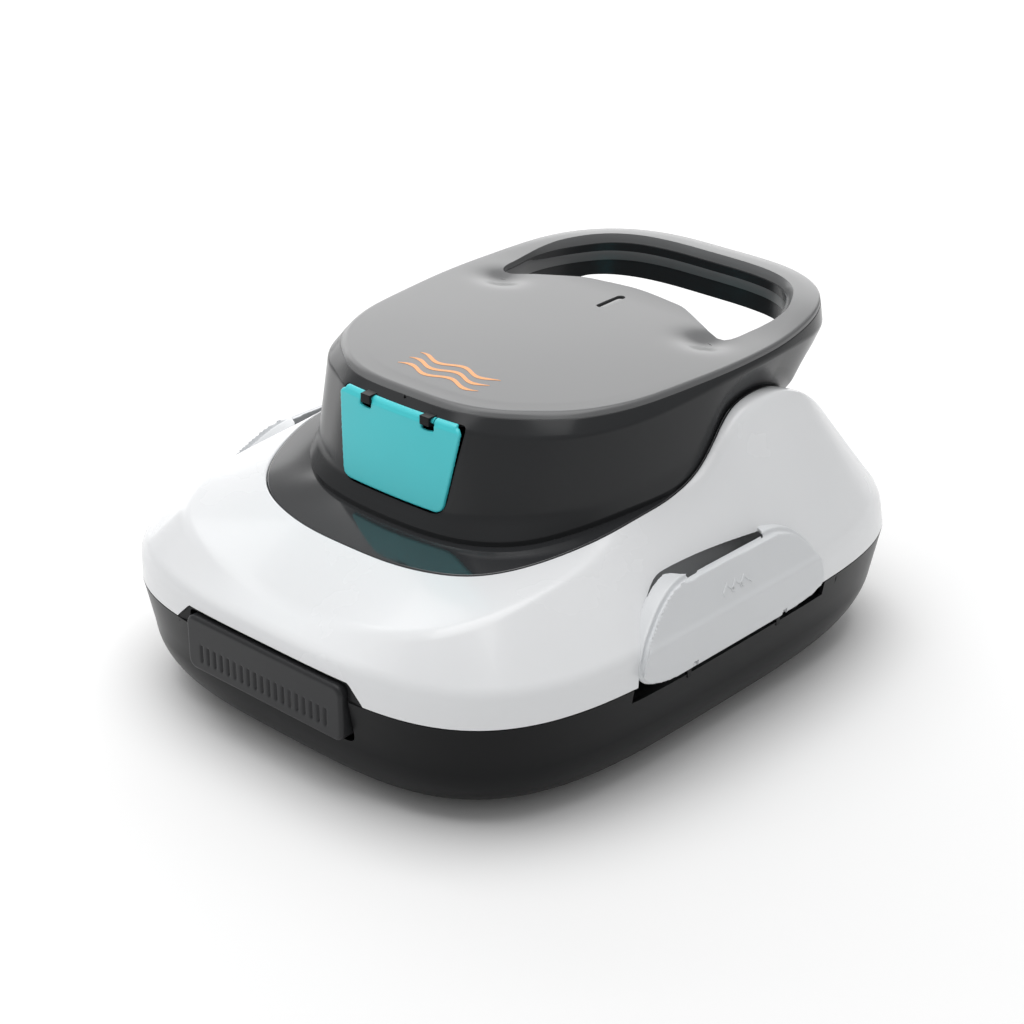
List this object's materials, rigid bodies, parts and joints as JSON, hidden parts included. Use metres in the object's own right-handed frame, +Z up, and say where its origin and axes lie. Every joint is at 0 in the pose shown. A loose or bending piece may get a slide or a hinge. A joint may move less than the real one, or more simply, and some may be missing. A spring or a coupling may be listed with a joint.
{
  "type": "pool cleaner",
  "caption": "Low rounded cordless pool-floor cleaner: black debris tray, white cover with side latches, dark raised head with a jet flap and a loop carrying handle.",
  "frame": {"origin": "on the ground under the middle of the hull", "axes": "+Z up, -Y the front with the ribbed pad and the visible jet flap, +Y the carrying handle, +X right"},
  "size_m": [0.34, 0.404, 0.1929],
  "materials": {
    "white_shell": "gloss",
    "dark_gloss": "gloss",
    "dark_satin": "satin",
    "black_plastic": "fine satin",
    "pad_plastic": "satin",
    "teal_plastic": "satin",
    "grey_rubber": "matt",
    "tyre_rubber": "matt",
    "steel": "bright",
    "filter_frame": "matt",
    "filter_mesh": "woven",
    "lens": "gloss",
    "motor_can": "satin",
    "iron": "matt",
    "prop_plastic": "satin",
    "cell_wrap": "satin",
    "board": "satin",
    "contact_brass": "bright"
  },
  "bodies": {
    "base": {"lower_tray": "black_plastic", "axle_pins": "steel", "inlet_duct_front": "black_plastic", "inlet_duct_rear": "black_plastic", "bottom_scrapers": "grey_rubber", "bumper_springs_front": "steel", "bumper_springs_rear": "steel", "latch_pins": "steel"},
    "upper": {"white_cover": "white_shell", "top_cover": "dark_satin", "status_lens": "lens", "handle_lower": "dark_gloss", "head_housing": "dark_gloss", "deck_trim": "dark_gloss", "well_floor": "black_plastic", "charge_socket": "contact_brass", "flap_clips_front": "black_plastic", "flap_clips_rear": "black_plastic", "outlet_duct_front": "black_plastic", "outlet_duct_rear": "black_plastic", "motor_housing": "motor_can", "motor_caps": "motor_can", "shaft_bearings": "steel", "shaft_seals": "grey_rubber", "stator": "iron", "motor_cradle": "black_plastic", "pump_deck": "black_plastic", "intake_grille": "black_plastic", "battery_case": "black_plastic", "electronics_case": "black_plastic", "case_lids": "black_plastic", "battery_cells": "cell_wrap", "control_board": "board", "deck_screws": "steel", "handle_screws": "steel"},
    "filter": {"filter_frame": "filter_frame", "filter_mesh": "filter_mesh"},
    "impeller": {"drive_shaft": "steel", "rotor": "iron", "propeller_front": "prop_plastic", "propeller_rear": "prop_plastic"},
    "jet_flap_front": {"outlet_flap_front": "teal_plastic"},
    "jet_flap_rear": {"outlet_flap_rear": "teal_plastic"},
    "suction_flap_front": {"inlet_flap_front": "grey_rubber"},
    "suction_flap_rear": {"inlet_flap_rear": "grey_rubber"},
    "pad_front": {"bumper_pad_front": "pad_plastic"},
    "pad_rear": {"bumper_pad_rear": "pad_plastic"},
    "side_latch_left": {"latch_left": "white_shell"},
    "side_latch_right": {"latch_right": "white_shell"},
    "button": {"power_button": "grey_rubber"},
    "socket_cap": {"charge_cap": "grey_rubber"},
    "front_left_wheel": {"wheel_front_left": "black_plastic", "tyre_front_left": "tyre_rubber"},
    "front_right_wheel": {"wheel_front_right": "black_plastic", "tyre_front_right": "tyre_rubber"},
    "rear_left_wheel": {"wheel_rear_left": "black_plastic", "tyre_rear_left": "tyre_rubber"},
    "rear_right_wheel": {"wheel_rear_right": "black_plastic", "tyre_rear_right": "tyre_rubber"}
  },
  "joints": [
    {"name": "upper_lift", "type": "slide", "parent": "base", "child": "upper", "axis": [0, 0, 1], "range_m": [0, 0.12]},
    {"name": "filter_lift", "type": "slide", "parent": "base", "child": "filter", "axis": [0, 0, 1], "range_m": [0, 0.06]},
    {"name": "impeller_spin", "type": "hinge", "parent": "upper", "child": "impeller", "pos_m": [0, 0.004, 0.152], "axis": [0, 1, 0], "continuous": true},
    {"name": "front_jet_flap", "type": "hinge", "parent": "upper", "child": "jet_flap_front", "pos_m": [0, -0.0957, 0.17843], "axis": [-1, 0, 0], "range_deg": [0, 60]},
    {"name": "rear_jet_flap", "type": "hinge", "parent": "upper", "child": "jet_flap_rear", "pos_m": [0, 0.1069, 0.1724], "axis": [1, 0, 0], "range_deg": [0, 60]},
    {"name": "front_suction_flap", "type": "hinge", "parent": "base", "child": "suction_flap_front", "pos_m": [0, -0.0645, 0.0282], "axis": [-1, 0, 0], "range_deg": [0, 50]},
    {"name": "rear_suction_flap", "type": "hinge", "parent": "base", "child": "suction_flap_rear", "pos_m": [0, 0.0645, 0.0282], "axis": [1, 0, 0], "range_deg": [0, 50]},
    {"name": "front_pad_press", "type": "slide", "parent": "base", "child": "pad_front", "axis": [0, 1, 0], "range_m": [0, 0.0025], "stiffness_N_per_m": 3000, "deforming": ["bumper_springs_front"]},
    {"name": "rear_pad_press", "type": "slide", "parent": "base", "child": "pad_rear", "axis": [0, -1, 0], "range_m": [0, 0.0025], "stiffness_N_per_m": 3000, "deforming": ["bumper_springs_rear"]},
    {"name": "right_latch_open", "type": "hinge", "parent": "base", "child": "side_latch_right", "pos_m": [0.16335, 0, 0.06026], "axis": [0, 1, 0], "range_deg": [0, 70]},
    {"name": "left_latch_open", "type": "hinge", "parent": "base", "child": "side_latch_left", "pos_m": [-0.16335, 0, 0.06026], "axis": [0, -1, 0], "range_deg": [0, 70]},
    {"name": "button_press", "type": "slide", "parent": "upper", "child": "button", "axis": [0, 0, -1], "range_m": [0, 0.0015], "stiffness_N_per_m": 500},
    {"name": "socket_cap_open", "type": "hinge", "parent": "upper", "child": "socket_cap", "pos_m": [0.0676, 0.118, 0.1236], "axis": [0, 1, 0], "range_deg": [0, 100]},
    {"name": "front_left_wheel_spin", "type": "hinge", "parent": "base", "child": "front_left_wheel", "pos_m": [-0.092, -0.128, 0.013], "axis": [1, 0, 0], "continuous": true},
    {"name": "front_right_wheel_spin", "type": "hinge", "parent": "base", "child": "front_right_wheel", "pos_m": [0.092, -0.128, 0.013], "axis": [1, 0, 0], "continuous": true},
    {"name": "rear_left_wheel_spin", "type": "hinge", "parent": "base", "child": "rear_left_wheel", "pos_m": [-0.092, 0.128, 0.013], "axis": [1, 0, 0], "continuous": true},
    {"name": "rear_right_wheel_spin", "type": "hinge", "parent": "base", "child": "rear_right_wheel", "pos_m": [0.092, 0.128, 0.013], "axis": [1, 0, 0], "continuous": true}
  ],
  "couplings": [
    {"joint": "filter_lift", "follows": "upper_lift", "ratio": 0.5}
  ]
}
